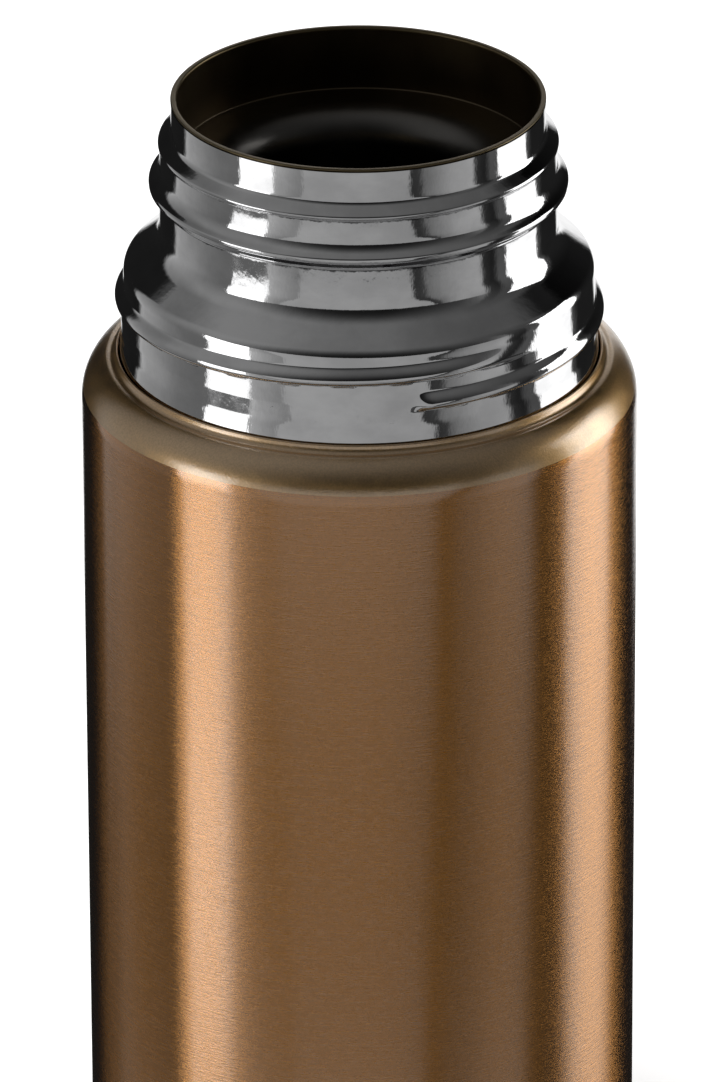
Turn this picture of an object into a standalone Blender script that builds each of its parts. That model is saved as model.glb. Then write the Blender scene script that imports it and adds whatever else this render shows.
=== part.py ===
"""A wide-mouthed, vacuum-insulated growler of about 1.9 litres, standing on its foot without its lid.

Sizes are in millimetres, heights are measured up from the surface that the growler stands on, and
the axis of the bottle is +Z. metres() converts to Blender's units. Every turned piece is an outline
of (radius, height) points that starts on its outer side at the top. The thread starts at the front,
which is -Y, and rises towards +X.
"""

import math

import bmesh
import bpy
from mathutils import Vector

# Driving dimensions
BODY_RADIUS = 60.0
RIM_HEIGHT = 270.0
NECK_HEIGHT = 58.0
RIM_RADIUS = 40.15
THROAT_RADIUS = 25.5
VACUUM_GAP = 5.2

# Sheet thicknesses
SHELL_SHEET = 0.6
COLLAR_SHEET = 0.6
LINER_SHEET = 0.4
BOTTOM_SHEET = 0.5
FOIL_SHEET = 0.1
GAP = 0.3

# Heights and radii that follow from them
SHELL_TOP = RIM_HEIGHT - NECK_HEIGHT
COLLAR_TOP = RIM_HEIGHT - LINER_SHEET - GAP
COLLAR_RADIUS = RIM_RADIUS - 0.05
SKIRT_RADIUS = 51.75
SKIRT_WIDENING = 0.059
SKIRT_DEPTH = 8.0
MOUTH_RADIUS = COLLAR_RADIUS - COLLAR_SHEET - GAP - LINER_SHEET
LINER_RADIUS = BODY_RADIUS - SHELL_SHEET - VACUUM_GAP
LEDGE_DEPTH = 15.4
LEDGE_SLOPE = 1.0
LINER_END = 13.8

# Shell
LIP_RADIUS = SKIRT_RADIUS + GAP + SHELL_SHEET
CREASE_RADIUS = 54.6
SHOULDER_CENTRE_RADIUS = 51.0
SHOULDER_CENTRE_DROP = 11.0
SHELL_FOOT_HEIGHT = 2.4
SHELL_FOOT_RADIUS = 56.6
SHELL_FOOT_ROUNDING = 3.2

# Thread on the neck
THREAD_START_DEG = 13.0
THREAD_SWEEP_DEG = 397.0
THREAD_PITCH = 6.6
THREAD_START_HEIGHT = 8.4
THREAD_ROD_RADIUS = 1.7
THREAD_FADE_DEG = 30.0
THREAD_STEPS = 54

# Base
PLATE_TOP = 10.9
PLATE_SHEET = 0.6
PLATE_RADIUS = BODY_RADIUS - SHELL_SHEET - GAP
PORT_RADIUS = 1.5
DIMPLE_RISE = 2.1
COVER_TOP = 3.8
COVER_SHEET = 0.6
COVER_RADIUS = SHELL_FOOT_RADIUS - GAP
COVER_RECESS_RADIUS = 42.0
COVER_RECESS_RISE = 1.8
FOOT_INNER_RADIUS = 44.5
FOOT_OUTER_RADIUS = 54.5
GETTER_RADIUS = 4.0
GETTER_THICKNESS = 2.2
GETTER_OFFSET = 26.0
CLIP_SHEET = 0.4
CLIP_WIDTH = 5.0

# Roundings of the larger bends
NECK_FLARE_FOOT = 6.0
NECK_FLARE_EDGE = 3.0
MOUTH_CORNER = 1.0
THROAT_EDGE = 7.5
THROAT_FOOT = 8.0
LINER_SHOULDER = 14.0

# Fineness
MOST_ARC_STEPS = 4
SHOULDER_STEPS = 5
OUTER_STEPS = 48
INNER_STEPS = 32


def metres(value):
    return value * 0.001


def clear_scene():
    for old in list(bpy.data.objects):
        bpy.data.objects.remove(old)


def new_collection(name):
    collection = bpy.data.collections.new(name)
    bpy.context.scene.collection.children.link(collection)
    return collection


def new_material(name, color, metallic, roughness):
    material = bpy.data.materials.new(name)
    material.use_nodes = True
    material.diffuse_color = (*color, 1.0)
    shader = material.node_tree.nodes["Principled BSDF"]
    shader.inputs["Base Color"].default_value = (*color, 1.0)
    shader.inputs["Metallic"].default_value = metallic
    shader.inputs["Roughness"].default_value = roughness
    return material


def rounded(corners):
    """The line through (radius, height, rounding) corners, with an arc at each rounded one.

    An arc has about one step for each millimetre of its rounding, and at most MOST_ARC_STEPS.
    """
    line = []
    for index, (radius, height, rounding) in enumerate(corners):
        corner = Vector((radius, height))
        if rounding == 0:
            line.append(corner)
            continue
        back = (Vector(corners[index - 1][:2]) - corner).normalized()
        ahead = (Vector(corners[index + 1][:2]) - corner).normalized()
        half_angle = back.angle(ahead) / 2
        centre = corner + (back + ahead).normalized() * rounding / math.sin(half_angle)
        start = corner + back * rounding / math.tan(half_angle) - centre
        turn = math.pi - 2 * half_angle
        if back.cross(ahead) > 0:
            turn = -turn
        steps = max(1, min(MOST_ARC_STEPS, round(rounding)))
        for step in range(steps + 1):
            line.append(centre + turned_vector(start, turn * step / steps))
    return line


def turned_vector(vector, angle):
    cosine, sine = math.cos(angle), math.sin(angle)
    return Vector((vector.x * cosine - vector.y * sine, vector.x * sine + vector.y * cosine))


def beside(line, distance):
    """The line moved sideways by the distance: to its left as it is walked, or right if negative."""
    moved = []
    for index, point in enumerate(line):
        before = (point - line[index - 1]).normalized() if index else None
        after = (line[index + 1] - point).normalized() if index + 1 < len(line) else None
        before = before or after
        after = after or before
        normals = [Vector((-way.y, way.x)) for way in (before, after)]
        middle = (normals[0] + normals[1]).normalized()
        moved.append(point + middle * distance / middle.dot(normals[0]))
    return moved


def turned(name, outline, material, collection, steps, closed=True):
    """A solid of revolution. A closed outline is a ring's section; an open one ends on the axis."""
    mesh = bpy.data.meshes.new(name)
    count = len(outline)
    edges = [(index, index + 1) for index in range(count - 1)]
    if closed:
        edges.append((count - 1, 0))
    points = [(metres(point[0]), 0.0, metres(point[1])) for point in outline]
    mesh.from_pydata(points, edges, [])
    piece = bpy.data.objects.new(name, mesh)
    collection.objects.link(piece)
    mesh.materials.append(material)
    screw = piece.modifiers.new("Revolve", "SCREW")
    screw.steps = steps
    screw.render_steps = steps
    screw.use_merge_vertices = True
    screw.merge_threshold = 0.000001
    screw.use_smooth_shade = True
    return piece


def sheet_metal(name, line, thickness, material, collection, steps):
    """A ring pressed from sheet: line is its outer face from the top down."""
    inside = beside(line, -thickness)
    return turned(name, line + inside[::-1], material, collection, steps)


def collar_wall_radius(height):
    """Radius of the plain neck wall below the big step, which widens a little towards the shell."""
    rise = height - SHELL_TOP
    return SKIRT_RADIUS - SKIRT_WIDENING * rise


def collar_corners():
    """The neck's outer face: a step, a plain stop ring, a broad flare and the threaded wall."""
    step_z = SHELL_TOP + 20.0
    return [
        (COLLAR_RADIUS, COLLAR_TOP, 0),
        (COLLAR_RADIUS + 0.1, SHELL_TOP + 50.3, 0.8),
        (43.3, SHELL_TOP + 48.0, 0.6),
        (42.6, SHELL_TOP + 47.3, 0.4),
        (42.7, SHELL_TOP + 41.3, 0.8),
        (45.0, SHELL_TOP + 39.6, 0.7),
        (45.0, SHELL_TOP + 38.5, 0.7),
        (42.8, SHELL_TOP + 36.5, 0.8),
        (42.8, SHELL_TOP + 26.2, NECK_FLARE_FOOT),
        (collar_wall_radius(step_z), step_z, NECK_FLARE_EDGE),
        (SKIRT_RADIUS, SHELL_TOP, 0),
        (SKIRT_RADIUS, SHELL_TOP - SKIRT_DEPTH, 0),
    ]


def thread_rod():
    """A round rod along the helix, thinner where the thread fades out, as a mesh object."""
    curve = bpy.data.curves.new("thread_path", "CURVE")
    curve.dimensions = "3D"
    curve.bevel_depth = metres(THREAD_ROD_RADIUS)
    curve.bevel_resolution = 2
    curve.use_fill_caps = True
    spline = curve.splines.new("POLY")
    spline.points.add(THREAD_STEPS)
    for step, point in enumerate(spline.points):
        swept = THREAD_SWEEP_DEG * step / THREAD_STEPS
        angle = math.radians(THREAD_START_DEG + swept)
        height = SHELL_TOP + THREAD_START_HEIGHT + THREAD_PITCH * swept / 360
        fullness = min(1.0, (THREAD_SWEEP_DEG - swept) / THREAD_FADE_DEG)
        point.radius = 0.2 + 0.8 * fullness
        radius = metres(collar_wall_radius(height) - 0.3 + 0.4 * fullness)
        point.co = (radius * math.sin(angle), -radius * math.cos(angle), metres(height), 1.0)
    return curve


def curve_as_mesh(curve, name, collection):
    """The curve's swept solid as a mesh object with its caps welded on."""
    guide = bpy.data.objects.new(name + "_guide", curve)
    collection.objects.link(guide)
    bpy.context.view_layer.update()
    graph = bpy.context.evaluated_depsgraph_get()
    mesh = bpy.data.meshes.new_from_object(guide.evaluated_get(graph))
    solid = bmesh.new()
    solid.from_mesh(mesh)
    bmesh.ops.remove_doubles(solid, verts=solid.verts, dist=0.000001)
    bmesh.ops.recalc_face_normals(solid, faces=solid.faces)
    solid.to_mesh(mesh)
    solid.free()
    piece = bpy.data.objects.new(name, mesh)
    piece.matrix_world = guide.matrix_world
    collection.objects.link(piece)
    bpy.data.objects.remove(guide)
    return piece


def make_neck_collar(parts, helpers, material):
    corners = collar_corners()
    inside = beside([Vector(corner[:2]) for corner in corners], -COLLAR_SHEET)
    outline = rounded(corners) + inside[::-1]
    collar = turned("neck_collar", outline, material, parts, OUTER_STEPS)
    thread = curve_as_mesh(thread_rod(), "thread_rod", helpers)
    thread.hide_render = True
    thread.display_type = "WIRE"
    join = collar.modifiers.new("Thread", "BOOLEAN")
    join.operation = "UNION"
    join.solver = "EXACT"
    join.object = thread


def shoulder_line():
    """The quarter ellipse from the crease below the lip to the body's full radius."""
    width = BODY_RADIUS - SHOULDER_CENTRE_RADIUS
    rise = SHOULDER_CENTRE_DROP - 1.0
    start = math.asin((CREASE_RADIUS - SHOULDER_CENTRE_RADIUS) / width)
    line = []
    for step in range(SHOULDER_STEPS + 1):
        angle = start + (math.pi / 2 - start) * step / SHOULDER_STEPS
        radius = SHOULDER_CENTRE_RADIUS + width * math.sin(angle)
        height = SHELL_TOP - SHOULDER_CENTRE_DROP + rise * math.cos(angle)
        line.append(Vector((radius, height)))
    return line


def make_outer_shell(parts, material):
    crease = shoulder_line()[0]
    lip = rounded(
        [
            (LIP_RADIUS, SHELL_TOP, 0),
            (LIP_RADIUS + 0.1, crease.y + 0.05, 1.1),
            (crease.x, crease.y, 0),
        ],
    )
    foot = rounded(
        [
            (BODY_RADIUS, SHELL_TOP / 2, 0),
            (BODY_RADIUS, SHELL_FOOT_HEIGHT, SHELL_FOOT_ROUNDING),
            (SHELL_FOOT_RADIUS, SHELL_FOOT_HEIGHT, 0),
        ],
    )
    line = lip + shoulder_line()[1:] + foot[1:]
    sheet_metal("outer_shell", line, SHELL_SHEET, material, parts, OUTER_STEPS)


def make_inner_liner(parts, material):
    """One drawn skin: rolled lip, mouth cup, ledge for the stopper's seal, throat and body."""
    ledge = RIM_HEIGHT - LEDGE_DEPTH
    wetted = rounded(
        [
            (RIM_RADIUS, RIM_HEIGHT, 0),
            (MOUTH_RADIUS, RIM_HEIGHT, 0),
            (MOUTH_RADIUS, ledge + LEDGE_SLOPE / 2, MOUTH_CORNER),
            (THROAT_RADIUS, ledge - LEDGE_SLOPE / 2, THROAT_EDGE),
            (THROAT_RADIUS, SHELL_TOP + 23.0, THROAT_FOOT),
            (LINER_RADIUS, SHELL_TOP - 15.0, LINER_SHOULDER),
            (LINER_RADIUS, LINER_END, 0),
        ],
    )
    outside = beside(wetted, LINER_SHEET)
    turned("inner_liner", outside + wetted[::-1], material, parts, OUTER_STEPS)


def liner_bottom_line():
    """The upper face of the liner's dished bottom, from the axis out to the end of its flange."""
    radius = LINER_RADIUS - GAP
    crown = [Vector((22.0 * step, 20.4 - 0.5 * step * step)) for step in range(3)]
    rim = rounded([(44.0, 18.4, 0), (radius, 17.9, 2.0), (radius, LINER_END, 0)])
    return crown + rim[1:]


def make_liner_bottom(parts, material):
    top = liner_bottom_line()
    under = beside(top, -BOTTOM_SHEET)
    under[0] = top[0] - Vector((0, BOTTOM_SHEET))
    turned("liner_bottom", top + under[::-1], material, parts, INNER_STEPS, closed=False)


def make_radiation_shield(parts, material):
    """The copper foil in the vacuum: a wrap round the liner and a disc under its bottom."""
    radius = LINER_RADIUS + LINER_SHEET + GAP
    wrap = [Vector((radius + FOIL_SHEET, 190.0)), Vector((radius + FOIL_SHEET, 16.0))]
    sheet_metal("foil_wrap", wrap, FOIL_SHEET, material, parts, OUTER_STEPS)
    drop = Vector((0, BOTTOM_SHEET + GAP))
    face = [point - drop for point in liner_bottom_line()[:3]] + [Vector((50.0, 17.2))]
    under = [point - Vector((0, FOIL_SHEET)) for point in face]
    turned("foil_disc", face + under[::-1], material, parts, INNER_STEPS, closed=False)


def make_base_plate(parts, material):
    """The plate that closes the vacuum, with a dimpled port that the air is drawn through."""
    line = rounded(
        [
            (PORT_RADIUS, PLATE_TOP + DIMPLE_RISE, 0),
            (6.0, PLATE_TOP + DIMPLE_RISE, 1.0),
            (9.0, PLATE_TOP, 1.0),
            (PLATE_RADIUS, PLATE_TOP, 1.2),
            (PLATE_RADIUS, 6.6, 0),
        ],
    )
    sheet_metal("base_plate", line, PLATE_SHEET, material, parts, INNER_STEPS)


def make_seal_plug(parts, material):
    """The bead of solder glass that fills the dimple and the port."""
    head_top = PLATE_TOP + DIMPLE_RISE - PLATE_SHEET - GAP
    outline = rounded(
        [
            (0, PLATE_TOP + DIMPLE_RISE + 0.4, 0),
            (PORT_RADIUS - GAP, PLATE_TOP + DIMPLE_RISE + 0.4, 0),
            (PORT_RADIUS - GAP, head_top, 0),
            (4.6, head_top, 0),
            (4.6, head_top - 1.2, 0.9),
            (0, head_top - 1.5, 0),
        ],
    )
    turned("seal_plug", outline, material, parts, 24, closed=False)


def make_getter(parts, pellet_material, clip_material):
    """The getter pellet that keeps the vacuum, in its bent strap on the base plate."""
    clip_base = PLATE_TOP + GAP
    pellet_base = clip_base + CLIP_SHEET + GAP
    bpy.ops.mesh.primitive_cylinder_add(
        vertices=24,
        radius=metres(GETTER_RADIUS),
        depth=metres(GETTER_THICKNESS),
        location=(metres(GETTER_OFFSET), 0, metres(pellet_base + GETTER_THICKNESS / 2)),
    )
    pellet = bpy.context.active_object
    pellet.name = "getter_pellet"
    pellet.data.materials.append(pellet_material)
    move_to(pellet, parts)

    curve = bpy.data.curves.new("getter_clip", "CURVE")
    curve.dimensions = "2D"
    curve.fill_mode = "BOTH"
    curve.extrude = metres(CLIP_WIDTH / 2)
    half = GETTER_RADIUS + GAP + CLIP_SHEET
    top = GETTER_THICKNESS + 2 * CLIP_SHEET + 2 * GAP
    tab = half - 1.2
    side = [(half, 0), (half, top), (tab, top), (tab, top - CLIP_SHEET)]
    side += [(half - CLIP_SHEET, top - CLIP_SHEET), (half - CLIP_SHEET, CLIP_SHEET)]
    section = side + [(-across, up) for across, up in reversed(side)]
    spline = curve.splines.new("POLY")
    spline.points.add(len(section) - 1)
    for point, (across, up) in zip(spline.points, section):
        point.co = (metres(across), metres(up), 0, 1)
    spline.use_cyclic_u = True
    clip = bpy.data.objects.new("getter_clip", curve)
    clip.location = (metres(GETTER_OFFSET), 0, metres(clip_base))
    clip.rotation_euler = (math.pi / 2, 0, 0)
    curve.materials.append(clip_material)
    parts.objects.link(clip)


def move_to(piece, collection):
    for owner in list(piece.users_collection):
        owner.objects.unlink(piece)
    collection.objects.link(piece)


def make_base_cover(parts, material):
    """The finishing cap under the vacuum plate, recessed inside the foot."""
    line = rounded(
        [
            (0, COVER_TOP + COVER_RECESS_RISE, 0),
            (COVER_RECESS_RADIUS - 1.0, COVER_TOP + COVER_RECESS_RISE, 1.2),
            (COVER_RECESS_RADIUS + 1.0, COVER_TOP, 1.2),
            (COVER_RADIUS, COVER_TOP, 0.8),
            (COVER_RADIUS, 1.9, 0),
        ],
    )
    under = beside(line, -COVER_SHEET)
    turned("base_cover", line + under[::-1], material, parts, OUTER_STEPS, closed=False)


def make_foot_ring(parts, material):
    top = COVER_TOP - COVER_SHEET - GAP
    outline = rounded(
        [
            (FOOT_INNER_RADIUS, top, 0),
            (FOOT_OUTER_RADIUS, top, 0),
            (FOOT_OUTER_RADIUS, 0, 0.8),
            (FOOT_INNER_RADIUS, 0, 0.8),
        ]
        + [(FOOT_INNER_RADIUS, top, 0)],
    )
    turned("foot_ring", outline[:-1], material, parts, OUTER_STEPS)


def main():
    clear_scene()
    parts = new_collection("growler")
    helpers = new_collection("helpers")
    copper_lacquer = new_material("copper_lacquer", (0.50, 0.30, 0.16), 1.0, 0.32)
    polished_steel = new_material("polished_steel", (0.78, 0.78, 0.79), 1.0, 0.08)
    liner_steel = new_material("liner_steel", (0.42, 0.38, 0.32), 1.0, 0.25)
    plain_steel = new_material("plain_steel", (0.62, 0.62, 0.62), 1.0, 0.35)
    copper_foil = new_material("copper_foil", (0.85, 0.45, 0.28), 1.0, 0.2)
    solder_glass = new_material("solder_glass", (0.25, 0.26, 0.28), 0.0, 0.2)
    getter_alloy = new_material("getter_alloy", (0.30, 0.30, 0.31), 1.0, 0.7)
    clip_steel = new_material("clip_steel", (0.66, 0.66, 0.67), 1.0, 0.3)
    cover_steel = new_material("cover_steel", (0.66, 0.65, 0.64), 1.0, 0.28)
    silicone = new_material("silicone", (0.035, 0.033, 0.032), 0.0, 0.75)
    bottom_steel = new_material("bottom_steel", (0.60, 0.59, 0.58), 1.0, 0.3)

    make_outer_shell(parts, copper_lacquer)
    make_neck_collar(parts, helpers, polished_steel)
    make_inner_liner(parts, liner_steel)
    make_liner_bottom(parts, bottom_steel)
    make_radiation_shield(parts, copper_foil)
    make_base_plate(parts, plain_steel)
    make_seal_plug(parts, solder_glass)
    make_getter(parts, getter_alloy, clip_steel)
    make_base_cover(parts, cover_steel)
    make_foot_ring(parts, silicone)


main()
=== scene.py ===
"""The growler's looks: fine turned surfaces, materials, studio and camera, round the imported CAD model."""

import math

import bpy
from mathutils import Matrix, Vector


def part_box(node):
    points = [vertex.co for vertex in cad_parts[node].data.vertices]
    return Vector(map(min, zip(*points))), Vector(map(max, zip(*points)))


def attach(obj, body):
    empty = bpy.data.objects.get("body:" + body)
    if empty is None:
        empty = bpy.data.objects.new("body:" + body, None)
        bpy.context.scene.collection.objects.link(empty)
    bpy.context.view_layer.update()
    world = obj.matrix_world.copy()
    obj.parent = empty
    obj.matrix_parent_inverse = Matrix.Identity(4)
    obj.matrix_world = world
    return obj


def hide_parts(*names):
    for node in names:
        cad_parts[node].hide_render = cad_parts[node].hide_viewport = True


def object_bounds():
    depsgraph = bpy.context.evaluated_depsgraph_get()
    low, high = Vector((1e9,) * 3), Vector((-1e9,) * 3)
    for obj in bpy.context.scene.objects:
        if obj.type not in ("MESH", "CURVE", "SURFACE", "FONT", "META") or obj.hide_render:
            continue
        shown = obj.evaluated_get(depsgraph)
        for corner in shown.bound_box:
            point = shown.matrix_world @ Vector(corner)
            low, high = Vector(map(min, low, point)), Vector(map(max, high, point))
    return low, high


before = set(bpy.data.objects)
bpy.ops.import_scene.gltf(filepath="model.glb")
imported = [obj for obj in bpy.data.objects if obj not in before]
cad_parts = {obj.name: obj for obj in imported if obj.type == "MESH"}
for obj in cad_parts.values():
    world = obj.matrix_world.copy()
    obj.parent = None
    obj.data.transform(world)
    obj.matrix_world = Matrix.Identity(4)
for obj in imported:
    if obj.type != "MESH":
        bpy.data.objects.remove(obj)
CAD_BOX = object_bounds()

# Sizes in metres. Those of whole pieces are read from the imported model.
MM = 0.001
GAP = 0.3 * MM
RIM_HEIGHT = CAD_BOX[1].z
RIM_RADIUS = 40.15 * MM

BODY_RADIUS = CAD_BOX[1].x
SHELL_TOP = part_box("outer_shell")[1].z
SHELL_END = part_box("outer_shell")[0].z
SHELL_SHEET = 0.6 * MM
CREASE_RADIUS = 54.6 * MM
SHOULDER_CENTRE_RADIUS = 51.0 * MM
SHOULDER_DROP = 11.0 * MM
SHOULDER_RISE = SHOULDER_DROP - 1.0 * MM
BRUSHED_TOP = SHELL_TOP - 8.6 * MM
SHELL_FOOT_RADIUS = 56.6 * MM
SHELL_FOOT_ROUNDING = 3.2 * MM

LINER_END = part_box("inner_liner")[0].z
LINER_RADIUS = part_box("liner_bottom")[1].x + GAP
LINER_SHEET = 0.4 * MM
MOUTH_RADIUS = 38.8 * MM
MOUTH_LIP_DEPTH = 0.7 * MM
LEDGE_DEPTH = 14.8 * MM
LEDGE_HALF_DROP = 0.5 * MM
THROAT_RADIUS = 26.1 * MM
THROAT_ROUNDING = 7.5 * MM
THROAT_END = SHELL_TOP + 23.0 * MM
THROAT_END_ROUNDING = 8.0 * MM
LINER_SHOULDER = SHELL_TOP - 15.0 * MM
LINER_SHOULDER_ROUNDING = 14.0 * MM

COVER_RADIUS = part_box("base_cover")[1].x
COVER_TOP = 3.8 * MM
COVER_SHEET = 0.6 * MM
COVER_MIDDLE = COVER_TOP + 1.8 * MM
COVER_MIDDLE_RADIUS = 41.0 * MM
COVER_STEP_RADIUS = 43.0 * MM
COVER_ROUNDING = 1.2 * MM
COVER_SKIRT_END = 1.9 * MM
AXIS_HOLE = 0.02 * MM

FOOT_TOP = COVER_TOP - 0.9 * MM
FOOT_INNER_RADIUS = 44.5 * MM
FOOT_MIDDLE_RADIUS = 49.5 * MM
FOOT_OUTER_RADIUS = 54.5 * MM
FOOT_TOP_ROUNDING = 0.25 * MM
FOOT_SOLE_ROUNDING = 0.8 * MM

SKIRT_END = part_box("neck_collar")[0].z
COLLAR_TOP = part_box("neck_collar")[1].z
COLLAR_SHEET = 0.6 * MM
SKIRT_RADIUS = 51.75 * MM
SKIRT_WIDENING = 0.059
THREADED_TOP = SHELL_TOP + 23.0 * MM
WALL_TOP = SHELL_TOP + 8.0 * MM
WALL_MIDDLE = SHELL_TOP + 3.6 * MM
WALL_FOOT = SHELL_TOP - 0.4 * MM
# The outer side of the neck from the mouth down to the step above the thread, in millimetres:
# (radius, height above the shell's top, rounding)
NECK_OUTLINE = [
    (43.3, 48.0, 0.7),
    (42.6, 47.3, 0.4),
    (42.59, 45.2, 60.0),
    (42.7, 41.1, 3.6),
    (45.0, 39.5, 0.7),
    (45.0, 38.5, 0.7),
    (42.8, 36.5, 0.8),
    (42.78, 32.0, 150.0),
    (42.88, 25.9, 6.0),
]
STEP_HEIGHT = SHELL_TOP + 20.0 * MM
STEP_ROUNDING = 3.0 * MM

# Fineness of the meshes
AROUND = 360
ARC_STEPS = 8
FINE_ARC_STEPS = 12
PLAIN_STRETCH = 0.8 * MM
THREADED_STRETCH = 0.25 * MM
SHOULDER_STEPS = 28
SHARP_ANGLE = math.radians(50)

# Camera
CAMERA_DISTANCE = 2.4
CAMERA_ELEVATION = math.radians(25.0)
CAMERA_ROLL = math.radians(0.23)
CAMERA_TARGET = Vector((0.0001, 0.0, SHELL_TOP - 0.0467))
CAMERA_LENS = 367.3
CAMERA_SENSOR = 36.0

# Thread on the neck, from its blunt start near the front. The powers shape its upper and lower side.
THREAD_START = math.radians(13.0)
THREAD_SWEEP = math.radians(397.0)
THREAD_PITCH = 6.6 * MM
THREAD_START_HEIGHT = SHELL_TOP + 8.1 * MM
THREAD_HEIGHT = 1.6 * MM
THREAD_ABOVE = 2.7 * MM
THREAD_BELOW = 1.5 * MM
THREAD_RUN_IN = math.radians(4.0)
THREAD_FADE = math.radians(34.0)
THREAD_ABOVE_POWER = 1.4
THREAD_BELOW_POWER = 0.8
THREAD_WALL_MARGIN = 0.45 * MM

# The studio round the growler as its neck mirrors it, from CARD_BOTTOM up to CARD_TOP: (azimuth in
# degrees from the front towards +X, radiance). A white sweep stands at the back, a grey card in front.
STUDIO_RING = [
    (-180, 1.0),
    (-171, 1.0),
    (-168, 0.012),
    (-134, 0.010),
    (-130.5, 0.42),
    (-127, 0.34),
    (-112, 0.26),
    (-95, 0.16),
    (-84, 0.135),
    (-55, 0.145),
    (-53.5, 0.50),
    (-50, 0.38),
    (-44, 0.32),
    (-36, 0.24),
    (-33.2, 0.23),
    (-32.6, 0.345),
    (0, 0.325),
    (29.4, 0.30),
    (30.6, 0.03),
    (36.0, 0.04),
    (39.0, 0.14),
    (50, 0.23),
    (60, 0.31),
    (74, 0.36),
    (76.5, 0.03),
    (84, 0.012),
    (88, 0.08),
    (128, 0.06),
    (131, 0.014),
    (160, 0.012),
    (164, 1.0),
    (180, 1.0),
]
# The same in the low band that the upright body mirrors: two bright strips among dim cards
LOW_RING = [
    (-180, 0.010),
    (-140, 0.010),
    (-128, 0.04),
    (-120, 0.07),
    (-108, 0.02),
    (-86, 0.02),
    (-80, 0.4),
    (-76, 1.35),
    (-60, 1.35),
    (-54, 0.4),
    (-49, 0.09),
    (-39, 0.03),
    (-33, 0.03),
    (-28, 0.055),
    (20, 0.055),
    (27, 0.05),
    (31, 0.010),
    (38, 0.010),
    (46, 0.04),
    (60, 0.08),
    (73, 0.10),
    (79, 0.02),
    (84, 0.010),
    (93, 0.03),
    (99, 0.5),
    (104, 0.8),
    (122, 0.65),
    (129, 0.3),
    (134, 0.010),
    (180, 0.010),
]
# Elevations and azimuths are in degrees. A pair holds the two ends of a band or of a soft edge.
LOW_BAND = (-31.5, -25.0)
LOW_BAND_BLUR = 0.2
CARD_TOP = 10.0
CARD_TOP_BLUR = 1.5
CARD_BOTTOM = -50.0
CARD_BOTTOM_BLUR = 6.0
UNDER_CARDS = 0.1
FRONT_CARD_LEVEL = -25.0
FRONT_CARD_WIDENING = 0.012
FRONT_CARD_END = (36.0, 58.0)
SIDE_START = (55.0, 85.0)
SIDE_FADE = (-20.0, 45.0)

# Soft boxes: (lowest and highest azimuth, lowest and highest elevation)
LEFT_BOX = ((-77.5, -53.5), (-22.9, 10.0))
RIGHT_BOX = ((94.5, 125.0), (-25.0, 26.0))
BOX_BLUR_ACROSS = 0.7
BOX_BLUR_UP = 0.6
BOX_GRADING = (-20.0, -8.0)
BOX_FOOT_RADIANCE = 1.3
BOX_HEAD_RADIANCE = 2.0

# Ceiling and white sweep. The ceiling's seam goes by a direction's own x, and its front, left and right
# fades by its y, both from -1 to 1. A fade holds the two ends and the share of the light at each.
CEILING_RADIANCE = 0.147
CEILING_LEAN = 0.105
CEILING_SEAM = (-0.1, 0.1)
CEILING_FRONT_FADE = (-0.97, -0.2, 0.07, 1.0)
CEILING_LEFT_FADE = (0.1, 0.5, 1.0, 0.6)
CEILING_RIGHT_FADE = (0.24, 0.44, 1.0, 0.10)
CEILING_CORNER_FADE = (128.0, 131.0, 1.0, 0.08)
SWEEP_RIGHT_EDGE = (159.0, 164.0)
SWEEP_LEFT_EDGE = (-168.0, -171.0)
SWEEP_TOP = (12.0, 22.0)

WHITE = (1.0, 1.0, 1.0, 1)
DIFFUSE_LIGHT = (0.45, 0.45, 0.45, 1)
SUN_STRENGTH = 4.3
SUN_ANGLE = math.radians(70)
SUN_TILT = (math.radians(12), math.radians(-14), 0)
FLOOR_REACH = 40.0
FLOOR_COLOR = (0.88, 0.88, 0.88)

# Materials. Colours are linear, a GLOSS is the range of roughness, CELLS are noise cells to the metre
# along x, y and z, a RANGE is the part of the noise that counts, and a DEPTH is the relief's height.
NOISE_RANGE = (0.3, 0.7)
FINE_GRAIN_CELLS = (420, 420, 4700)
LONG_GRAIN_CELLS = (90, 90, 3000)
FINE_GRAIN_SHARE = 0.65
GRAIN_DEPTH = 0.1 * MM
COAT_GRAIN_DEPTH = 0.025 * MM
GRAIN_RANGE = (0.35, 0.65)
BRUSHED_CLOUD_CELLS = (14, 14, 9)
BRUSHED_CLOUD_RANGE = (0.35, 0.7)
BRUSHED_GLOSS = (0.22, 0.29)
BRUSHED_DARK = (0.73, 0.315, 0.062, 1)
BRUSHED_LIGHT = (0.90, 0.39, 0.08, 1)
BRUSHED_CLOUDY = (0.78, 0.33, 0.072, 1)
BRUSHED_CLOUDINESS = 0.2

SPECK_CELLS = (2400, 2400, 2400)
SPECK_DEPTH = 0.05 * MM
COAT_SPECK_DEPTH = 0.04 * MM
SWELL_CELLS = (220, 220, 500)
SWELL_DEPTH = 0.02 * MM
SMOOTH_GLOSS = (0.34, 0.43)
SMOOTH_DARK = (0.68, 0.415, 0.155, 1)
SMOOTH_LIGHT = (0.84, 0.52, 0.205, 1)

HAZE_CELLS = (300, 300, 120)
HAZE_RANGE = (0.35, 0.75)
POLISHED_GLOSS = (0.02, 0.075)
WAVE_CELLS = (420, 420, 300)
WAVE_DEPTH = 0.022 * MM
PORE_CELLS = (2200, 2200, 900)
PORE_DEPTH = 0.006 * MM
TINT_CELLS = (55, 55, 90)
POLISHED_DARK = (0.70, 0.70, 0.705, 1)
POLISHED_LIGHT = (0.88, 0.88, 0.885, 1)

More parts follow.
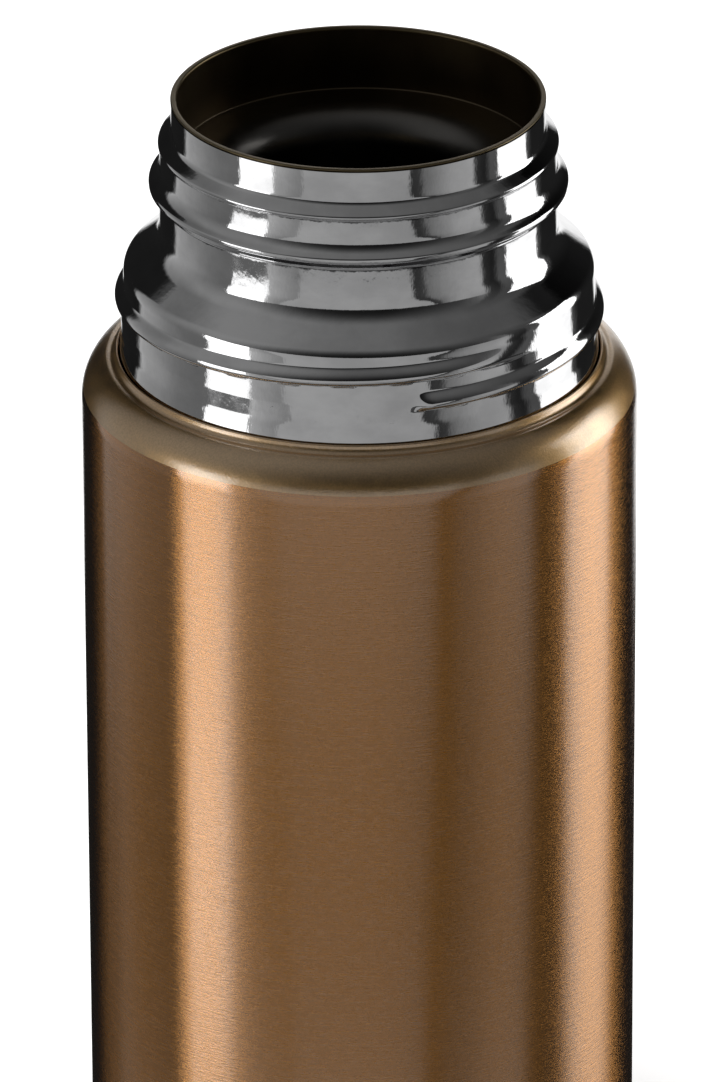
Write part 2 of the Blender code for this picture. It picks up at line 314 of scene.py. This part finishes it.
LINER_CLOUD_CELLS = (45, 45, 25)
LINER_GLOSS = (0.3, 0.42)
# Painted shade: the liner's steel is darkened so that the inside of the mouth reads dark. It is warm in the
# mouth, greyer and a little lighter from the ledge down, which greys the ledge's highlight, and lighter on
# the lip, which stands out of that shade.
LINER_WARM_PAINTED_SHADE = ((0.11, 0.08, 0.04, 1), (0.15, 0.11, 0.06, 1))
LINER_COOL_PAINTED_SHADE = ((0.15, 0.145, 0.135, 1), (0.2, 0.19, 0.18, 1))
LINER_LIP = (0.20, 0.155, 0.085, 1)
WARM_FROM = (RIM_HEIGHT - 17.0 * MM, RIM_HEIGHT - 13.0 * MM)
LIP_FROM = (RIM_HEIGHT - 0.55 * MM, RIM_HEIGHT - 0.2 * MM)

SPUN_LINE_CELLS = (3000, 3000, 1)
SPUN_LINE_DEPTH = 0.004 * MM
SPUN_CLOUD_CELLS = (60, 60, 60)
SPUN_SHADE = 0.85
FOIL_CREASE_CELLS = (160, 160, 120)
FOIL_CREASE_DEPTH = 0.6 * MM
FOIL_GLOSS = (0.12, 0.3)
PITTED_SHADE = 0.75
GETTER_GREY = (0.30, 0.30, 0.31)


# ---------------------------------------------------------------- node helpers


class Nodes:
    """A node tree and short ways to add to it."""

    def __init__(self, tree):
        self.tree = tree

    def add(self, kind, **settings):
        node = self.tree.nodes.new(kind)
        for name, value in settings.items():
            setattr(node, name, value)
        return node

    def link(self, source, target):
        self.tree.links.new(source, target)

    def put(self, socket, value):
        if hasattr(value, "is_output"):
            self.link(value, socket)
        else:
            socket.default_value = value

    def math(self, operation, first, second=0.0):
        node = self.add("ShaderNodeMath", operation=operation)
        self.put(node.inputs[0], first)
        self.put(node.inputs[1], second)
        return node.outputs[0]

    def step(self, value, low, high, to_low=0.0, to_high=1.0):
        """Goes smoothly from to_low at low to to_high at high."""
        node = self.add("ShaderNodeMapRange", interpolation_type="SMOOTHSTEP")
        for index, item in enumerate((value, low, high, to_low, to_high)):
            self.put(node.inputs[index], item)
        return node.outputs[0]

    def window(self, value, low, high, blur):
        """1 where the value is between low and high, falling off smoothly at both."""
        rise = self.step(value, low - blur, low + blur)
        fall = self.step(value, high - blur, high + blur, 1.0, 0.0)
        return self.math("MULTIPLY", rise, fall)

    def mix(self, factor, first, second):
        node = self.add("ShaderNodeMix", data_type="RGBA")
        self.put(node.inputs[0], factor)
        self.put(node.inputs[6], first)
        self.put(node.inputs[7], second)
        return node.outputs[2]

    def parts(self, vector):
        node = self.add("ShaderNodeSeparateXYZ")
        self.link(vector, node.inputs[0])
        return node.outputs

    def place(self):
        """The point in the object's own frame, in metres."""
        return self.add("ShaderNodeTexCoord").outputs["Object"]

    def noise(self, scale, detail=2.0, roughness=0.5, place=None):
        """Noise with so many cells to the metre along each axis."""
        mapping = self.add("ShaderNodeMapping")
        self.link(place or self.place(), mapping.inputs["Vector"])
        mapping.inputs["Scale"].default_value = scale
        node = self.add("ShaderNodeTexNoise")
        self.link(mapping.outputs[0], node.inputs["Vector"])
        node.inputs["Scale"].default_value = 1.0
        node.inputs["Detail"].default_value = detail
        node.inputs["Roughness"].default_value = roughness
        return node.outputs[0]

    def bump(self, height, distance, under=None):
        node = self.add("ShaderNodeBump")
        self.link(height, node.inputs["Height"])
        node.inputs["Strength"].default_value = 1.0
        node.inputs["Distance"].default_value = distance
        if under is not None:
            self.link(under, node.inputs["Normal"])
        return node.outputs[0]


# ---------------------------------------------------------------- camera, floor and light


def make_camera():
    data = bpy.data.cameras.new("camera")
    data.lens = CAMERA_LENS
    data.sensor_width = CAMERA_SENSOR
    data.clip_start = 0.1
    data.clip_end = 100.0
    camera = bpy.data.objects.new("camera", data)
    back = Vector((0, -math.cos(CAMERA_ELEVATION), math.sin(CAMERA_ELEVATION)))
    turn = (-back).to_track_quat("-Z", "Y").to_matrix().to_4x4()
    roll = Matrix.Rotation(-CAMERA_ROLL, 4, "Z")
    camera.matrix_world = Matrix.Translation(CAMERA_TARGET + back * CAMERA_DISTANCE) @ turn @ roll
    bpy.context.scene.collection.objects.link(camera)
    bpy.context.scene.camera = camera


def make_floor():
    mesh = bpy.data.meshes.new("floor")
    ways = [(-1, -1), (1, -1), (1, 1), (-1, 1)]
    mesh.from_pydata([(x * FLOOR_REACH, y * FLOOR_REACH, 0) for x, y in ways], [], [(0, 1, 2, 3)])
    mesh.materials.append(new_material("pale_floor", FLOOR_COLOR, 0.0, 0.9)[0])
    floor = bpy.data.objects.new("floor", mesh)
    floor.visible_glossy = False
    bpy.context.scene.collection.objects.link(floor)


def make_sun():
    """The soft light from above, for the floor and the rubber. The metal mirrors the studio instead."""
    data = bpy.data.lights.new("soft_top_light", "SUN")
    data.energy = SUN_STRENGTH
    data.angle = SUN_ANGLE
    lamp = bpy.data.objects.new("soft_top_light", data)
    lamp.rotation_euler = SUN_TILT
    lamp.visible_glossy = False
    bpy.context.scene.collection.objects.link(lamp)


def ring_ramp(nodes, azimuth, ring):
    """The radiance in a ring's list at this azimuth."""
    ramp = nodes.add("ShaderNodeValToRGB")
    nodes.link(nodes.math("DIVIDE", nodes.math("ADD", azimuth, 180.0), 360.0), ramp.inputs[0])
    stops = ramp.color_ramp.elements
    stops.remove(stops[1])
    for index, (degrees, radiance) in enumerate(ring):
        position = (degrees + 180) / 360
        stop = stops.new(position) if index else stops[0]
        stop.position = position
        stop.color = (radiance, radiance, radiance, 1)
    return ramp.outputs[0]


def cards(nodes, azimuth, elevation):
    """The cards and walls at eye level. The front card is wider at its top than at its foot."""
    rise = nodes.math("ADD", elevation, -FRONT_CARD_LEVEL)
    widening = nodes.math("MULTIPLY", rise, -FRONT_CARD_WIDENING)
    near_front = nodes.step(nodes.math("ABSOLUTE", azimuth), *FRONT_CARD_END, 1.0, 0.0)
    scale = nodes.math("ADD", nodes.math("MULTIPLY", widening, near_front), 1.0)
    ring = ring_ramp(nodes, nodes.math("MULTIPLY", azimuth, scale), STUDIO_RING)
    low, high = CARD_BOTTOM - CARD_BOTTOM_BLUR, CARD_BOTTOM + CARD_BOTTOM_BLUR
    return nodes.math("MULTIPLY", ring, nodes.step(elevation, low, high, UNDER_CARDS, 1.0))


def ceiling(nodes, x, y, azimuth, elevation):
    """The dim ceiling, brighter to the left, dark above the camera and at the back, and the white sweep."""
    lean = nodes.math("SUBTRACT", CEILING_RADIANCE, nodes.math("MULTIPLY", x, CEILING_LEAN))
    front = nodes.step(y, *CEILING_FRONT_FADE)
    left = nodes.step(y, *CEILING_LEFT_FADE)
    right = nodes.step(y, *CEILING_RIGHT_FADE)
    back = nodes.mix(nodes.step(x, *CEILING_SEAM), left, right)
    corner = nodes.step(nodes.math("ABSOLUTE", azimuth), *CEILING_CORNER_FADE)
    ahead = nodes.math("MULTIPLY", lean, front)
    behind = nodes.math("MULTIPLY", back, corner)
    sides = [nodes.step(azimuth, *edge) for edge in (SWEEP_RIGHT_EDGE, SWEEP_LEFT_EDGE)]
    below_top = nodes.step(elevation, *SWEEP_TOP, 1.0, 0.0)
    sweep = nodes.math("MULTIPLY", nodes.math("ADD", *sides), below_top)
    return nodes.math("ADD", nodes.math("MULTIPLY", ahead, behind), sweep)


def with_soft_box(nodes, room, azimuth, elevation, azimuths, elevations):
    across = nodes.window(azimuth, *azimuths, BOX_BLUR_ACROSS)
    up = nodes.window(elevation, *elevations, BOX_BLUR_UP)
    radiance = nodes.step(elevation, *BOX_GRADING, BOX_FOOT_RADIANCE, BOX_HEAD_RADIANCE)
    return nodes.mix(nodes.math("MULTIPLY", across, up), room, radiance)


def mirrored_studio(nodes):
    """What the metal mirrors in each direction."""
    x, y, z = nodes.parts(nodes.add("ShaderNodeTexCoord").outputs["Generated"])
    front = nodes.math("MULTIPLY", y, -1.0)
    azimuth = nodes.math("MULTIPLY", nodes.math("ARCTAN2", x, front), 180 / math.pi)
    elevation = nodes.math("MULTIPLY", nodes.math("ARCSINE", z), 180 / math.pi)
    sharp_top = nodes.step(elevation, CARD_TOP - CARD_TOP_BLUR, CARD_TOP + CARD_TOP_BLUR)
    faded_top = nodes.step(elevation, *SIDE_FADE)
    side = nodes.step(nodes.math("ABSOLUTE", azimuth), *SIDE_START)
    above = nodes.mix(side, sharp_top, faded_top)
    studio = nodes.mix(
        above,
        cards(nodes, azimuth, elevation),
        ceiling(nodes, x, y, azimuth, elevation),
    )
    for box in (LEFT_BOX, RIGHT_BOX):
        studio = with_soft_box(nodes, studio, azimuth, elevation, *box)
    low = nodes.window(elevation, *LOW_BAND, LOW_BAND_BLUR)
    return nodes.mix(low, studio, ring_ramp(nodes, azimuth, LOW_RING))


def make_world():
    """A dim studio with cards and two soft boxes for the metal, plain white for the camera."""
    world = bpy.data.worlds.new("studio")
    bpy.context.scene.world = world
    world.use_nodes = True
    world.node_tree.nodes.clear()
    nodes = Nodes(world.node_tree)
    path = nodes.add("ShaderNodeLightPath")
    seen = nodes.mix(path.outputs["Is Camera Ray"], mirrored_studio(nodes), WHITE)
    seen = nodes.mix(path.outputs["Is Diffuse Ray"], seen, DIFFUSE_LIGHT)
    background = nodes.add("ShaderNodeBackground")
    nodes.link(seen, background.inputs["Color"])
    output = nodes.add("ShaderNodeOutputWorld")
    nodes.link(background.outputs[0], output.inputs["Surface"])


# ---------------------------------------------------------------- materials


def new_material(name, color, metallic, roughness, **constants):
    material = bpy.data.materials.new(name)
    material.use_nodes = True
    shader = material.node_tree.nodes["Principled BSDF"]
    shader.inputs["Base Color"].default_value = (*color, 1)
    shader.inputs["Metallic"].default_value = metallic
    shader.inputs["Roughness"].default_value = roughness
    for socket, value in constants.items():
        shader.inputs[socket.replace("_", " ")].default_value = value
    return material, Nodes(material.node_tree), shader


def brushed_copper():
    """Steel brushed round the body under a clear copper-brown lacquer, which follows the grain."""
    material, nodes, shader = new_material(
        "brushed_copper_lacquer",
        (0.80, 0.36, 0.10),
        1.0,
        0.25,
        Anisotropic=1.0,
        Anisotropic_Rotation=0.25,
        Coat_Weight=1.0,
        Coat_Roughness=0.08,
        Coat_IOR=2.5,
    )
    tangent = nodes.add("ShaderNodeTangent", direction_type="RADIAL", axis="Z")
    nodes.link(tangent.outputs[0], shader.inputs["Tangent"])
    fine = nodes.noise(FINE_GRAIN_CELLS, detail=3.0, roughness=0.65)
    long = nodes.math("MULTIPLY", nodes.noise(LONG_GRAIN_CELLS), 1 - FINE_GRAIN_SHARE)
    grain = nodes.math("ADD", nodes.math("MULTIPLY", fine, FINE_GRAIN_SHARE), long)
    cloud = nodes.noise(BRUSHED_CLOUD_CELLS, detail=3.0)
    cloudy = nodes.step(cloud, *BRUSHED_CLOUD_RANGE, 0.0, BRUSHED_CLOUDINESS)
    color = nodes.mix(nodes.step(grain, *GRAIN_RANGE), BRUSHED_DARK, BRUSHED_LIGHT)
    nodes.link(nodes.mix(cloudy, color, BRUSHED_CLOUDY), shader.inputs["Base Color"])
    nodes.link(nodes.step(grain, *NOISE_RANGE, *BRUSHED_GLOSS), shader.inputs["Roughness"])
    nodes.link(nodes.bump(grain, GRAIN_DEPTH), shader.inputs["Normal"])
    nodes.link(nodes.bump(grain, COAT_GRAIN_DEPTH), shader.inputs["Coat Normal"])
    return material


def smooth_copper():
    """The same lacquer over the turned shoulder, which isn't brushed."""
    material, nodes, shader = new_material(
        "smooth_copper_lacquer",
        (0.52, 0.32, 0.15),
        1.0,
        0.38,
        Coat_Weight=1.0,
        Coat_Roughness=0.10,
        Coat_IOR=2.9,
    )
    speck = nodes.noise(SPECK_CELLS, detail=3.0, roughness=0.6)
    swell = nodes.noise(SWELL_CELLS)
    color = nodes.mix(nodes.step(speck, *NOISE_RANGE), SMOOTH_DARK, SMOOTH_LIGHT)
    nodes.link(color, shader.inputs["Base Color"])
    nodes.link(nodes.step(swell, *NOISE_RANGE, *SMOOTH_GLOSS), shader.inputs["Roughness"])
    under = nodes.bump(swell, SWELL_DEPTH)
    nodes.link(nodes.bump(speck, SPECK_DEPTH, under), shader.inputs["Normal"])
    nodes.link(nodes.bump(speck, COAT_SPECK_DEPTH, under), shader.inputs["Coat Normal"])
    return material


def polished_steel():
    """Mirror-polished steel, a little wavy, with a fine haze of upright buffing marks."""
    material, nodes, shader = new_material("polished_steel", (0.8, 0.8, 0.805), 1.0, 0.04)
    haze = nodes.noise(HAZE_CELLS, detail=4.0, roughness=0.6)
    cloud = nodes.noise(TINT_CELLS, detail=4.0, roughness=0.6)
    tint = nodes.mix(nodes.step(cloud, *NOISE_RANGE), POLISHED_DARK, POLISHED_LIGHT)
    nodes.link(tint, shader.inputs["Base Color"])
    nodes.link(nodes.step(haze, *HAZE_RANGE, *POLISHED_GLOSS), shader.inputs["Roughness"])
    under = nodes.bump(nodes.noise(WAVE_CELLS), WAVE_DEPTH)
    pores = nodes.noise(PORE_CELLS, detail=3.0, roughness=0.6)
    nodes.link(nodes.bump(pores, PORE_DEPTH, under), shader.inputs["Normal"])
    return material


def liner_steel():
    """Satin steel darkened as painted shade for the inside of the mouth: warm in the mouth, cooler and a
    little lighter from the ledge down, which greys the ledge's highlight, and a little lighter on the lip,
    which stands out of that shade.
    """
    material, nodes, shader = new_material("liner_steel", (0.13, 0.10, 0.06), 1.0, 0.3)
    cloud = nodes.noise(LINER_CLOUD_CELLS, detail=4.0, roughness=0.6)
    height = nodes.parts(nodes.place())[2]
    warm = nodes.mix(nodes.step(cloud, *NOISE_RANGE), *LINER_WARM_PAINTED_SHADE)
    cool = nodes.mix(nodes.step(cloud, *NOISE_RANGE), *LINER_COOL_PAINTED_SHADE)
    dark = nodes.mix(nodes.step(height, *WARM_FROM), cool, warm)
    lip = nodes.step(height, *LIP_FROM)
    nodes.link(nodes.mix(lip, dark, LINER_LIP), shader.inputs["Base Color"])
    nodes.link(nodes.step(cloud, *NOISE_RANGE, *LINER_GLOSS), shader.inputs["Roughness"])
    return material


def spun_steel(name, color, roughness):
    """Plain steel with fine lines round the axis, a little uneven."""
    material, nodes, shader = new_material(name, color, 1.0, roughness, Anisotropic=0.6)
    tangent = nodes.add("ShaderNodeTangent", direction_type="RADIAL", axis="Z")
    nodes.link(tangent.outputs[0], shader.inputs["Tangent"])
    x, y, z = nodes.parts(nodes.place())
    squares = [nodes.math("MULTIPLY", value, value) for value in (x, y)]
    radius = nodes.math("SQRT", nodes.math("ADD", *squares))
    ring = nodes.add("ShaderNodeCombineXYZ")
    nodes.link(radius, ring.inputs[0])
    nodes.link(z, ring.inputs[1])
    lines = nodes.noise(SPUN_LINE_CELLS, roughness=0.6, place=ring.outputs[0])
    cloud = nodes.noise(SPUN_CLOUD_CELLS, detail=3.0)
    darker = tuple(SPUN_SHADE * value for value in color)
    tint = nodes.mix(nodes.step(cloud, *NOISE_RANGE), (*darker, 1), (*color, 1))
    gloss = (roughness - 0.06, roughness + 0.08)
    nodes.link(tint, shader.inputs["Base Color"])
    nodes.link(nodes.step(lines, *NOISE_RANGE, *gloss), shader.inputs["Roughness"])
    nodes.link(nodes.bump(lines, SPUN_LINE_DEPTH), shader.inputs["Normal"])
    return material


def crinkled_foil():
    """Bright copper foil full of creases."""
    material, nodes, shader = new_material("copper_foil", (0.85, 0.45, 0.28), 1.0, 0.2)
    creases = nodes.noise(FOIL_CREASE_CELLS, detail=4.0, roughness=0.6)
    nodes.link(nodes.step(creases, *NOISE_RANGE, *FOIL_GLOSS), shader.inputs["Roughness"])
    nodes.link(nodes.bump(creases, FOIL_CREASE_DEPTH), shader.inputs["Normal"])
    return material


def rough_solid(name, color, metallic, roughness, cells, depth):
    """A plain material with an uneven, finely pitted surface."""
    material, nodes, shader = new_material(name, color, metallic, roughness)
    grain = nodes.noise((cells, cells, cells), detail=3.0, roughness=0.6)
    darker = tuple(PITTED_SHADE * value for value in color)
    tint = nodes.mix(nodes.step(grain, *NOISE_RANGE), (*darker, 1), (*color, 1))
    gloss = (roughness - 0.08, roughness + 0.1)
    nodes.link(tint, shader.inputs["Base Color"])
    nodes.link(nodes.step(grain, *NOISE_RANGE, *gloss), shader.inputs["Roughness"])
    nodes.link(nodes.bump(grain, depth), shader.inputs["Normal"])
    return material


# ---------------------------------------------------------------- shapes


def turned_vector(vector, angle):
    cosine, sine = math.cos(angle), math.sin(angle)
    return Vector((vector.x * cosine - vector.y * sine, vector.x * sine + vector.y * cosine))


def rounded(corners, steps=ARC_STEPS):
    """The line through (radius, height, rounding) corners, with an arc at each rounded one."""
    line = []
    for index, (radius, height, rounding) in enumerate(corners):
        corner = Vector((radius, height))
        if rounding == 0:
            line.append(corner)
            continue
        back = (Vector(corners[index - 1][:2]) - corner).normalized()
        ahead = (Vector(corners[index + 1][:2]) - corner).normalized()
        half_angle = back.angle(ahead) / 2
        centre = corner + (back + ahead).normalized() * rounding / math.sin(half_angle)
        start = corner + back * rounding / math.tan(half_angle) - centre
        turn = math.pi - 2 * half_angle
        if back.cross(ahead) > 0:
            turn = -turn
        for step in range(steps + 1):
            line.append(centre + turned_vector(start, turn * step / steps))
    return line


def beside(line, distance):
    """The line moved sideways by the distance: to its left as it is walked, or right if negative."""
    moved = []
    for index, point in enumerate(line):
        before = (point - line[index - 1]).normalized() if index else None
        after = (line[index + 1] - point).normalized() if index + 1 < len(line) else None
        before = before or after
        after = after or before
        normals = [Vector((-way.y, way.x)) for way in (before, after)]
        middle = (normals[0] + normals[1]).normalized()
        moved.append(point + middle * distance / middle.dot(normals[0]))
    return moved


def divided(line, longest):
    """The line with points added, so that no stretch is longer than the given length."""
    points = [line[0]]
    for start, end in zip(line, line[1:]):
        count = max(1, math.ceil((end - start).length / longest))
        points += [start.lerp(end, step / count) for step in range(1, count + 1)]
    return points


def turned_mesh(name, section, materials, raised=None):
    """The mesh of a closed section turned about the axis.

    raised(angle, point) says how far to push a point out.
    """
    points = []
    for index in range(AROUND):
        angle = 2 * math.pi * index / AROUND
        sine, cosine = math.sin(angle), math.cos(angle)
        for point in section:
            radius = point.x + (raised(angle, point) if raised else 0.0)
            points.append((radius * sine, -radius * cosine, point.y))
    count = len(section)
    faces = []
    for index in range(AROUND):
        here = index * count
        there = (index + 1) % AROUND * count
        for row in range(count):
            after = (row + 1) % count
            faces.append((here + row, here + after, there + after, there + row))
    mesh = bpy.data.meshes.new(name)
    mesh.from_pydata(points, [], faces)
    for material in materials:
        mesh.materials.append(material)
    mesh.shade_smooth()
    mesh.set_sharp_from_angle(angle=SHARP_ANGLE)
    return mesh


def add_piece(mesh, replaced):
    """Puts the mesh in the scene in place of a CAD node."""
    piece = bpy.data.objects.new(mesh.name, mesh)
    bpy.context.scene.collection.objects.link(piece)
    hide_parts(replaced)
    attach(piece, "root")


def wall_radius(height):
    """Radius of the plain neck wall below the big step."""
    return SKIRT_RADIUS - SKIRT_WIDENING * (height - SHELL_TOP)


def thread_rise(angle, point):
    """How far the thread stands out of the neck at this angle from the front and this height."""
    rise = 0.0
    swept = (angle - THREAD_START) % (2 * math.pi)
    while swept <= THREAD_SWEEP:
        above = point.y - THREAD_START_HEIGHT - THREAD_PITCH * swept / (2 * math.pi)
        across = above / THREAD_ABOVE if above > 0 else -above / THREAD_BELOW
        if across < 1 and point.x > wall_radius(point.y) - THREAD_WALL_MARGIN:
            full = min(1.0, swept / THREAD_RUN_IN) * min(1.0, (THREAD_SWEEP - swept) / THREAD_FADE)
            full = full * full * (3 - 2 * full)
            power = THREAD_ABOVE_POWER if above > 0 else THREAD_BELOW_POWER
            rise = max(rise, THREAD_HEIGHT * full * (1 - across**2) ** power)
        swept += 2 * math.pi
    return rise


def make_neck_collar(material):
    wall = wall_radius(WALL_TOP)
    corners = [
        (RIM_RADIUS - 0.05 * MM, COLLAR_TOP, 0),
        (RIM_RADIUS + 0.05 * MM, SHELL_TOP + 50.3 * MM, 1.4 * MM),
        *[(x * MM, SHELL_TOP + z * MM, rounding * MM) for x, z, rounding in NECK_OUTLINE],
        (wall_radius(STEP_HEIGHT), STEP_HEIGHT, STEP_ROUNDING),
        (wall, WALL_TOP, 0),
        (wall + 0.02 * MM, WALL_MIDDLE, 12.0 * MM),
        (SKIRT_RADIUS, WALL_FOOT, 0),
        (SKIRT_RADIUS, SKIRT_END, 0),
    ]
    outside = rounded(corners, FINE_ARC_STEPS)
    plain = [point for point in outside if point.y > THREADED_TOP]
    threaded = [point for point in outside if point.y <= THREADED_TOP]
    outside = divided(plain, PLAIN_STRETCH) + divided(threaded, THREADED_STRETCH)
    inside = beside([Vector(corner[:2]) for corner in corners], -COLLAR_SHEET)
    mesh = turned_mesh("neck_surface", outside + inside[::-1], [material], thread_rise)
    add_piece(mesh, "neck_collar")


def shoulder_line():
    """The quarter ellipse from the crease below the lip to the body's full radius."""
    centre = Vector((SHOULDER_CENTRE_RADIUS, SHELL_TOP - SHOULDER_DROP))
    width = BODY_RADIUS - centre.x
    start = math.asin((CREASE_RADIUS - centre.x) / width)
    line = []
    for step in range(SHOULDER_STEPS + 1):
        angle = start + (math.pi / 2 - start) * step / SHOULDER_STEPS
        line.append(centre + Vector((width * math.sin(angle), SHOULDER_RISE * math.cos(angle))))
    return line


def make_outer_shell(brushed, smooth):
    shoulder = shoulder_line()
    crease = shoulder[0]
    lip_radius = SKIRT_RADIUS + GAP + SHELL_SHEET
    lip = rounded(
        [
            (lip_radius - 0.35 * MM, SHELL_TOP, 0),
            (lip_radius, SHELL_TOP, 0.32 * MM),
            (lip_radius + 0.1 * MM, crease.y + 0.05 * MM, 1.4 * MM),
            (crease.x, crease.y, 0),
        ],
    )
    foot = rounded(
        [
            (BODY_RADIUS, SHELL_TOP / 2, 0),
            (BODY_RADIUS, SHELL_END, SHELL_FOOT_ROUNDING),
            (SHELL_FOOT_RADIUS, SHELL_END, 0),
        ],
    )
    line = lip + shoulder[1:] + foot[1:]
    section = line + beside(line[1:], -SHELL_SHEET)[::-1]
    mesh = turned_mesh("body_shell", section, [brushed, smooth])
    for polygon in mesh.polygons:
        polygon.material_index = int(polygon.center.z > BRUSHED_TOP)
    add_piece(mesh, "outer_shell")


def make_inner_liner(material):
    ledge = RIM_HEIGHT - LEDGE_DEPTH
    bore = rounded(
        [
            (MOUTH_RADIUS, RIM_HEIGHT - MOUTH_LIP_DEPTH, 0),
            (MOUTH_RADIUS, ledge + LEDGE_HALF_DROP, 0.4 * MM),
            (THROAT_RADIUS, ledge - LEDGE_HALF_DROP, THROAT_ROUNDING),
            (THROAT_RADIUS, THROAT_END, THROAT_END_ROUNDING),
            (LINER_RADIUS, LINER_SHOULDER, LINER_SHOULDER_ROUNDING),
            (LINER_RADIUS, LINER_END, 0),
        ],
        FINE_ARC_STEPS,
    )
    lip = rounded(
        [
            (MOUTH_RADIUS + LINER_SHEET, RIM_HEIGHT - LINER_SHEET, 0),
            (RIM_RADIUS, RIM_HEIGHT - LINER_SHEET, 0.15 * MM),
            (RIM_RADIUS, RIM_HEIGHT, 0.2 * MM),
            (MOUTH_RADIUS, RIM_HEIGHT, 0.5 * MM),
            (MOUTH_RADIUS, RIM_HEIGHT - MOUTH_LIP_DEPTH, 0),
        ],
    )
    outside = beside(bore, LINER_SHEET)[1:]
    mesh = turned_mesh("liner_skin", bore + outside[::-1] + lip[:-1], [material])
    add_piece(mesh, "inner_liner")


def closed_disc(line, thickness):
    """The section of a sheet disc with a small hole on the axis too fine to see."""
    under = beside(line, -thickness)
    under[0].x = line[0].x
    return line + under[::-1]


def make_base_cover(material):
    line = rounded(
        [
            (AXIS_HOLE, COVER_MIDDLE, 0),
            (COVER_MIDDLE_RADIUS, COVER_MIDDLE, COVER_ROUNDING),
            (COVER_STEP_RADIUS, COVER_TOP, COVER_ROUNDING),
            (COVER_RADIUS, COVER_TOP, 0.8 * MM),
            (COVER_RADIUS, COVER_SKIRT_END, 0),
        ],
    )
    mesh = turned_mesh("foot_cover", closed_disc(line, COVER_SHEET), [material])
    add_piece(mesh, "base_cover")


def make_foot_ring(material):
    section = rounded(
        [
            (FOOT_MIDDLE_RADIUS, FOOT_TOP, 0),
            (FOOT_OUTER_RADIUS, FOOT_TOP, FOOT_TOP_ROUNDING),
            (FOOT_OUTER_RADIUS, 0, FOOT_SOLE_ROUNDING),
            (FOOT_INNER_RADIUS, 0, FOOT_SOLE_ROUNDING),
            (FOOT_INNER_RADIUS, FOOT_TOP, FOOT_TOP_ROUNDING),
            (FOOT_MIDDLE_RADIUS, FOOT_TOP, 0),
        ],
    )
    mesh = turned_mesh("foot_rubber", section[:-1], [material])
    add_piece(mesh, "foot_ring")


def finish_hidden_nodes():
    """Better materials on the CAD pieces that stay as they are, inside the vacuum and the liner."""
    looks = {
        "liner_bottom": spun_steel("bottom_steel", (0.60, 0.59, 0.58), 0.3),
        "foil_wrap": crinkled_foil(),
        "foil_disc": crinkled_foil(),
        "base_plate": spun_steel("plain_steel", (0.62, 0.62, 0.62), 0.35),
        "seal_plug": rough_solid("solder_glass", (0.25, 0.26, 0.28), 0.0, 0.2, cells=600, depth=0.03 * MM),
        "getter_pellet": rough_solid("getter_alloy", GETTER_GREY, 1.0, 0.7, cells=1500, depth=0.08 * MM),
        "getter_clip": rough_solid("clip_steel", (0.66, 0.66, 0.67), 1.0, 0.3, cells=800, depth=0.01 * MM),
    }
    for node, material in looks.items():
        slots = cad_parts[node].data.materials
        slots.clear()
        slots.append(material)


def main():
    bpy.context.scene.view_settings.view_transform = "Standard"
    make_camera()
    make_floor()
    make_sun()
    make_world()
    make_neck_collar(polished_steel())
    make_outer_shell(brushed_copper(), smooth_copper())
    # The liner's dark colour is painted shade for the inside of the mouth.
    make_inner_liner(liner_steel())
    make_base_cover(spun_steel("cover_steel", (0.66, 0.65, 0.64), 0.28))
    make_foot_ring(
        rough_solid("silicone", (0.035, 0.033, 0.032), 0.0, 0.72, cells=900, depth=0.04 * MM),
    )
    finish_hidden_nodes()


main()
